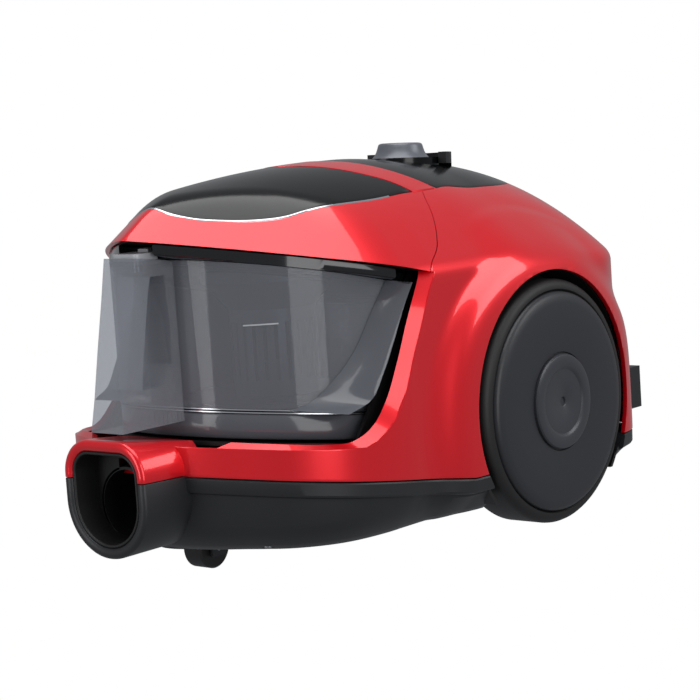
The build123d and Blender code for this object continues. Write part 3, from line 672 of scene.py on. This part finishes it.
def collar_tube(name, out_grow, in_grow, y_front, y_back):
    """Open tube of the collar's section with a rounded front rim."""
    mid, half = (out_grow + in_grow) / 2, (out_grow - in_grow) / 2
    rings = []
    for turn in np.linspace(-pi / 2, pi / 2, 9):
        grow = mid - half * sin(turn)
        y = y_front + (1 - cos(turn)) * min(half, 2.6)
        rings.append((grow, y))
    rings = [(out_grow, y_back), (out_grow, y_back - 4)] + rings + [(in_grow, y_back)]
    made = []
    for grow, y in rings:
        p = collar_outline(grow)
        made.append(np.column_stack([p[:, 0], np.full(len(p), y), p[:, 1]]))
    return torus_stack(name, made)


def make_collar():
    """Red cover over the top of the collar and the charcoal collar below it."""
    whole = collar_tube("inlet_lower", 0.0, -6.5, -HALF_L, -152)
    cover = copy_of(whole, "inlet_cover_shape")
    split = [(-240, 69), (-150, 66), (-150, 130), (-240, 130)]
    combine(cover, prism("upper", split, "X", -60, 60), "INTERSECT")
    # cut back to the bin's way out, so that the bin passes over it
    way = [(-240, bay_z(-240) + 0.8), (-130, bay_z(-130) + 0.8), (-130, 140), (-240, 140)]
    combine(cover, prism("bin_way", way, "X", -60, 60))
    combine(whole, prism("upper", [(y, z - 0.5) for y, z in split[:2]] + split[2:], "X", -60, 60))
    lining = collar_tube("inlet_lining", -6.4, -8.4, -HALF_L + 1.2, -178)
    back = prism("inlet_back", collar_outline(-8.0), "Y", -180.5, -178.2)
    combine(back, plug("hole", -190, -170, INLET_R + 0.5, (0, 0, INLET_Z), "Y", 96))
    combine(back, prism("keyway", [(-5.5, 66), (5.5, 66), (5.5, 77), (-5.5, 77)], "Y", -190, -170))
    wall = [(-180.5, INLET_R), (-153, INLET_R), (-153, INLET_R + 1.7), (-180.5, INLET_R + 1.7)]
    bore = lathe("inlet_bore", wall, (0, 0, INLET_Z), "Y", 96)
    for piece, material, node in ((cover, RED, "inlet_cover"), (whole, CHARCOAL, None)):
        soften(piece, 0.5)
        dress(piece, material, "body", (node,) if node else ())
    for piece in (lining, back, bore):
        shade(piece)
        dress(piece, INNER_BLACK, "body", ("inlet_socket",))


# --------------------------------------------------------------------- tub

def plan_ring(inset, z_of):
    """Plan outline of the body moved in by inset, at heights given by z_of(y)."""
    spine, out = spine_rays()
    low, high = np.zeros(len(spine)), np.full(len(spine), 200.0)
    for _ in range(30):
        mid = (low + high) / 2
        x, y = out[:, 0] * mid, spine + out[:, 1] * mid
        reach = body_reach(x, y, np.maximum(seam_z(y), 60.0) + 2)
        inside = reach + inset < 0
        low, high = np.where(inside, mid, low), np.where(inside, high, mid)
    x, y = out[:, 0] * low, spine + out[:, 1] * low
    return np.column_stack([x, y, z_of(y)])


def make_tub():
    """Charcoal tub: proud band under the seam, recessed wall and tapered bowl."""
    seam = lambda y: seam_z(y) - 0.5
    step = lambda y: seam_z(y) - 9.5
    level = lambda z: (lambda y: np.full_like(y, z))
    rings = [plan_ring(40, seam), plan_ring(4, seam), plan_ring(0.9, lambda y: seam_z(y) - 0.9),
             plan_ring(0.4, lambda y: seam_z(y) - 1.8), plan_ring(0.6, lambda y: step(y) + 1.2),
             plan_ring(1.4, step), plan_ring(3.6, lambda y: step(y) - 0.8),
             plan_ring(4.2, lambda y: np.maximum(step(y) - 3, 38.5)),
             plan_ring(5.0, lambda y: 36.0 - (50 - np.minimum(seam_z(y), 50)) * 0.6)]
    bowl = ((8.5, 29.0), (14, 22.5), (20, 18.8), (26, 17.6), (60, 17.6))
    rings += [plan_ring(inset, level(z)) for inset, z in bowl]
    tub = ring_stack("lower_tub", rings)
    cut_wheel_wells(tub)
    combine(tub, prism("collar_hole", collar_outline(-6.5), "Y", -240, -150))
    combine(tub, plug("castor_hole", 5, 38, CASTOR_HOLE_R, (0, CASTOR_Y, 0), "Z", 64))
    for x, y in SCREWS:
        combine(tub, plug("screw_hole", 5, 22, SCREW_HOLE_R, (x, y, 0), "Z", 24))
    dress(soften(tub, 0.5), CHARCOAL, "body", ("base_housing",))


# ------------------------------------------------------------------- wheels

def make_wheel(sign):
    """Tyre, disc and hub as (x, radius) profiles spun round the axle."""
    side = "right" if sign > 0 else "left"
    centre = (0, AXLE_Y, AXLE_Z)

    def spun(name, profile):
        return shade(lathe(name, [(sign * x, r) for x, r in profile], centre, "X", 160))

    arc = np.linspace(0, pi / 2, 7)
    tyre = [(104, 69.4), (101.6, 71), (100.6, 74)] + [(103.6 - 3 * cos(a), 74 + 3 * sin(a)) for a in arc]
    tyre += [(112, 77)] + [(125.5 + 5.5 * sin(a), 71.5 + 5.5 * cos(a)) for a in arc]
    tyre += [(131, 70.6), (129.4, 69.4)]
    dress(spun("tyre_" + side + "_shape", tyre), RUBBER, side + "_wheel", ("tyre_" + side,))
    disc = [(101, 4.2), (101, 66), (103, 69.3), (129, 69.3), (131.4, 68.9), (132.7, 67.9), (133.6, 66.2),
            (134.1, 62), (134.3, 50), (133.9, 34), (133.6, 31.2), (132.6, 30.6), (132.6, 4.2)]
    dress(spun("disc_" + side + "_shape", disc), GRAPHITE, side + "_wheel", ("wheel_disc_" + side,))
    cap = [(132.0, 0), (132.0, 30.0), (134.6, 30.0), (135.6, 29.4), (136.0, 28.2), (136.0, 22.6),
           (135.5, 21.4), (134.7, 20.4), (134.6, 3.6), (134.2, 2.9), (133.2, 2.6), (133.2, 0)]
    dress(spun("hub_" + side + "_shape", cap), HUB_GREY, side + "_wheel", ("hub_cap_" + side,))


# --------------------------------------------------------------------- knob

def make_knob():
    """Knob with its flared skirt and the round button on top, as (height, radius) profiles."""
    def spun(name, profile, steps=96):
        return shade(lathe(name, profile, (0, KNOB_Y, KNOB_Z), "Z", steps, KNOB_TILT), 40)

    skirt = [(-9, 5.2), (-9, 24.2), (-2.2, 24.2), (-1.4, 23.8), (-0.7, 22.4), (0.2, 20.6), (1.6, 18.9),
             (3.4, 17.4), (5.6, 16.2), (8.0, 15.4), (9.8, 14.9), (10.7, 14.4), (11.2, 13.6), (11.4, 12.6),
             (11.1, 11.7), (10.5, 10.6), (10.1, 9.2), (10.0, 7.2), (4.0, 7.1), (4.0, 5.2)]
    dress(spun("knob_shape", skirt), KNOB_GREY, "knob", ("power_knob",))
    disc = [(7, 0), (7, 6.8), (9.7, 6.8), (10.1, 6.4), (10.3, 5.6), (10.2, 3), (10.1, 0)]
    dress(spun("power_button_shape", disc, 64), KNOB_GREY, "power_key", ("power_button",))


# ---------------------------------------------------------------- bin pieces

def slope_ring(radius, height_of, steps=160):
    """Ring round the bin's axis at heights given by height_of(y)."""
    a = np.linspace(0, 2 * pi, steps, endpoint=False)
    px, py = radius * np.sin(a), BIN_Y - radius * np.cos(a)
    return np.column_stack([px, py, height_of(py)])


def make_bin():
    """Smoked cup, base ring, base plate and the two bright lines round the base."""
    floor = lambda up: (lambda y: bay_z(y) + up)
    roof = lambda down: (lambda y: brim_z(y) - down)
    cup = torus_stack("bin_cup", [slope_ring(BIN_R, floor(19.5)), slope_ring(BIN_R, roof(7.4)),
                                  slope_ring(BIN_R - 2.2, roof(7.4)), slope_ring(BIN_R - 2.2, floor(19.5))])
    dress(shade(cup), SMOKED, "bin", ("dust_bin",))
    base = torus_stack("bin_base_ring", [
        slope_ring(BIN_R - inset, floor(up)) for inset, up in (
            (5, 1.8), (1.6, 1.8), (0.4, 2.6), (0, 4.2), (0, 15.6), (0.6, 16.4), (5, 16.6), (5.4, 6))])
    dress(shade(base, 50), SMOKED_BASE, "bin", ("bin_base",))
    plate = ring_stack("bin_base_plate", [slope_ring(BIN_R - 5.2, floor(up)) for up in (2.4, 6.0)])
    combine(plate, plug("duct_hole", 40, 110, DUCT_HOLE_R, (0, DUCT_Y, 0), "Z", 48))
    dress(shade(plate), INNER_BLACK, "bin", ("bin_base",))
    for up, thick in ((17.0, 0.7), (18.6, 0.7)):
        line = torus_stack("bin_bright_line_%d" % up, [
            slope_ring(BIN_R - 3, floor(up)), slope_ring(BIN_R + 0.15, floor(up)),
            slope_ring(BIN_R + 0.15, floor(up + thick)), slope_ring(BIN_R - 3, floor(up + thick))])
        dress(shade(line, 50), SILVER, "bin", ("bin_base",))


# (y, z) side view of the wings' rear and front edges
WING_REAR = [(-101, 96), (-88, 101), (-76, 117), (-66, 134), (-55, 152), (-46, brim_z(-46) - 7.6)]
WING_FRONT = [(-115, 97.5), (-107, 100.5), (-94, 111.5), (-80, 127.5), (-67, 148.5), (-54, brim_z(-54) - 7.6)]


def make_wings():
    """Swept wings on each side of the cup, out to the hood's side."""
    rear, front = smooth_path(WING_REAR, 60), smooth_path(WING_FRONT, 60)

    def cup_x(y):
        return sqrt(max(BIN_R ** 2 - (y - BIN_Y) ** 2, 0)) + 0.3

    for sign in (1, -1):
        sections = []
        for (yr, zr), (yf, zf) in zip(rear, front):
            x_out = skin_x(yr, min(zr, 150)) - 7.5
            x_in = cup_x(yf)
            ring = [(x_in, yf, zf), (x_in + 0.35 * (x_out - x_in), yf + 3.0, zf - 0.5),
                    (x_out - 1.2, yr - 2.5, zr - 1.0), (x_out, yr, zr), (x_out - 1.5, yr + 2, zr),
                    (cup_x(yr), yr + 1.5, zr)]
            sections.append(np.array(ring) * np.array([sign, 1, 1]))
        wing = ring_stack("bin_wing_" + ("right" if sign > 0 else "left"), sections)
        dress(shade(wing, 40), SMOKED_BASE, "bin", ("dust_bin",))


def hood_edge(inset, down):
    """Brim outline moved in by inset, on the brim plane lowered by down, front half only."""
    a = np.linspace(-pi / 2, pi / 2, 90)
    r = NOSE_R - inset
    x = r * np.sign(a) * np.abs(np.sin(a)) ** (2 / BOW)
    y = NOSE_Y - r * np.abs(np.cos(a)) ** (2 / BOW)
    return np.column_stack([x, y, brim_z(y) - down])


def make_lid():
    """Dark lid under the brim, and the hood's black liner over it."""
    def back(edge, narrow, y, down):
        n = len(edge)
        return np.column_stack([edge[:, 0] * narrow, np.full(n, y), np.full(n, brim_z(y) - down)])

    top, low = hood_edge(4.5, 0.8), hood_edge(5.0, 6.6)
    rings = [back(top, 0.86, BIN_Y, 0.8), hood_edge(6.0, 0.8), top, hood_edge(4.2, 2.0), hood_edge(4.2, 5.6),
             low, hood_edge(6.4, 7.0), back(low, 0.86, BIN_Y, 7.0)]
    lid = strip_stack("bin_lid_shape", rings)
    disc = ring_stack("bin_lid_disc", [slope_ring(BIN_R, lambda y: brim_z(y) - 7.0),
                                       slope_ring(BIN_R, lambda y: brim_z(y) - 1.0)])
    notch = [(-13.8, -190), (13.8, -190), (13.8, -149), (-13.8, -149)]
    combine(lid, disc, "UNION")
    combine(lid, prism("grip_notch", notch, "Z", 150, 240))
    dress(shade(lid, 40), LID_DARK, "bin", ("bin_lid",))
    under, over = hood_edge(7.5, -0.6), hood_edge(7.5, -2.6)
    rings = [under, over, back(over, 0.9, 40.0, -2.6), back(under, 0.9, 40.0, -0.6)]
    liner = strip_stack("hood_liner_shape", rings)
    dress(shade(liner, 40), INNER_BLACK, "body", ("hood_liner",))


def make_trim():
    """Thin silver edge along the front and sides of the front panel."""
    loop, kept = front_panel_loop(), 72
    rings = []
    for shift, lift in ((0.0, -0.6), (0.9, -0.6), (0.9, 0.35), (0.0, 0.35)):
        p = grown(loop, shift - 0.2)
        p = np.concatenate([p[-kept:], p[:kept]])
        rings.append(np.column_stack([p, skin_z(p[:, 0], p[:, 1]) + lift]))
    trim = strip_stack("front_panel_trim", rings)
    dress(shade(trim, 50), SILVER, "body")


def make_max_line():
    """Short raised fill mark on the cup."""
    a = np.radians(np.linspace(32, 44, 10))
    low, high = FILL_MARK_Z, FILL_MARK_Z + 0.8
    rings = []
    for r, z in ((BIN_R - 1, low), (BIN_R + 0.2, low), (BIN_R + 0.2, high), (BIN_R - 1, high)):
        rings.append(np.column_stack([r * np.sin(a), BIN_Y - r * np.cos(a), np.full(len(a), z)]))
    dress(shade(strip_stack("bin_fill_mark", rings), 50), PALE_GREY, "bin", ("dust_bin",))


def dress_grip():
    """The grip and its button keep their CAD shapes and get materials of their own."""
    for name, look in (("release_button", PALE_GREY), ("bin_handle", SMOKED_GRIP)):
        node = frame["nodes"][name]
        node.data.materials.clear()
        node.data.materials.append(look)


# ---------------------------------------------------------------- assembling

hood, main_shell = make_red_shell()
for piece, node in ((hood, "front_cover"), (main_shell, "main_housing")):
    dress(soften(piece, 0.7), RED, "body", (node,))
for lip in make_bay_lip():
    dress(shade(lip, 60), RED, "body", ("main_housing",))

front_panel = under_skin("front_panel_shape", front_panel_loop(), PANEL_DEPTH, 0.25)
dress(soften(front_panel, 0.4), BLACK_GLOSS, "body", ("front_deco_panel",))
rear_panel = under_skin("rear_panel_shape", rear_panel_loop(), PANEL_DEPTH, 0.1)
combine(rear_panel, plug("knob_well", -20, 20, KNOB_WELL_R, (0, KNOB_Y, KNOB_Z), "Z", 96, KNOB_TILT))
dress(soften(rear_panel, 0.4), BLACK_GLOSS, "body", ("rear_deco_panel",))
band = under_skin("carry_band", band_loop(), BAND_DEPTH, 0.5)
dress(soften(band, 0.8), RED, "handle", ("carry_handle",))
# the legs take the darker red: painted shade under the handle band
for sign, side in ((1, "right"), (-1, "left")):
    (x0, x1), (y0, y1) = sorted(sign * x for x in LEG_X), LEG_Y
    leg = prism("carry_leg_" + side, [(x0, y0), (x1, y0), (x1, y1), (x0, y1)], "Z", *LEG_Z)
    dress(soften(leg, 0.4), RED_SHADE_UNDER_BAND, "handle", ("carry_handle",))

make_collar()
make_tub()
for sign in (1, -1):
    make_wheel(sign)
make_knob()
make_bin()
make_wings()
make_lid()
make_trim()
make_max_line()
dress_cad_nodes()
dress_grip()


# ----------------------------------------------------------- camera and light

# camera: turn, look down and roll in degrees, place in metres, focal length over frame width, sensor in mm
CAMERA_TURN, CAMERA_PLACE = (40.12, 6.78, -3.88), (0.834, -0.9635, 0.266)
FOCAL, FRAME_WIDTH, SENSOR = 2000.0, 700.0, 36.0


def make_camera():
    """Camera low in front of the right side, looking slightly down."""
    az, down, roll = (radians(turn) for turn in CAMERA_TURN)
    ahead = Vector((-sin(az) * cos(down), cos(az) * cos(down), -sin(down)))
    across = Vector((cos(az), sin(az), 0))
    up = across.cross(ahead)
    right = across * cos(roll) + up * sin(roll)
    top = up * cos(roll) - across * sin(roll)
    data = bpy.data.cameras.new("camera")
    data.sensor_width, data.lens = SENSOR, FOCAL / FRAME_WIDTH * SENSOR
    data.clip_start, data.clip_end = 0.05, 50
    camera = bpy.data.objects.new("camera", data)
    bpy.context.scene.collection.objects.link(camera)
    turn = Matrix((right, top, -ahead)).transposed()
    camera.matrix_world = Matrix.Translation(CAMERA_PLACE) @ turn.to_4x4()
    bpy.context.scene.camera = camera


def make_light(name, place, aim, width, height, power):
    """White softbox at a place, turned to its aim, sizes in metres and power in watts."""
    data = bpy.data.lights.new(name, "AREA")
    data.shape, data.size, data.size_y, data.energy = "RECTANGLE", width, height, power
    light = bpy.data.objects.new(name, data)
    bpy.context.scene.collection.objects.link(light)
    light.location = place
    light.rotation_euler = (Vector(aim) - Vector(place)).to_track_quat("-Z", "Y").to_euler()
    light.visible_camera = False
    return light


def make_world():
    """White to the camera, soft grey to everything else."""
    world = bpy.data.worlds.new("studio")
    bpy.context.scene.world = world
    world.use_nodes = True
    tree = world.node_tree
    tree.nodes.clear()
    path = add(tree, "ShaderNodeLightPath")
    seen = add(tree, "ShaderNodeBackground", Color=(1, 1, 1, 1), Strength=1.0)
    soft = add(tree, "ShaderNodeBackground", Color=(0.80, 0.82, 0.86, 1), Strength=0.35)
    mix = add(tree, "ShaderNodeMixShader", [("Fac", path.outputs["Is Camera Ray"])])
    tree.links.new(mix.inputs[1], soft.outputs[0])
    tree.links.new(mix.inputs[2], seen.outputs[0])
    out = add(tree, "ShaderNodeOutputWorld")
    tree.links.new(out.inputs["Surface"], mix.outputs[0])


make_camera()
make_world()
make_light("key_overhead", (0.1, -0.1, 1.5), (0, 0, 0.1), 1.2, 1.6, 19)
make_light("side_softbox", (1.30, -0.62, 0.40), (0, -0.05, 0.14), 0.62, 1.1, 7)
make_light("rear_side_softbox", (1.3, 0.9, 0.9), (0, 0.05, 0.12), 0.8, 0.8, 8)
make_light("front_softbox", (-0.30, -1.48, 0.40), (0, -0.05, 0.14), 0.5, 1.1, 6)
make_light("rear_soft", (-0.8, 1.4, 0.9), (0, 0, 0.15), 0.9, 0.9, 7).visible_glossy = False
bpy.context.scene.view_settings.view_transform = "Standard"
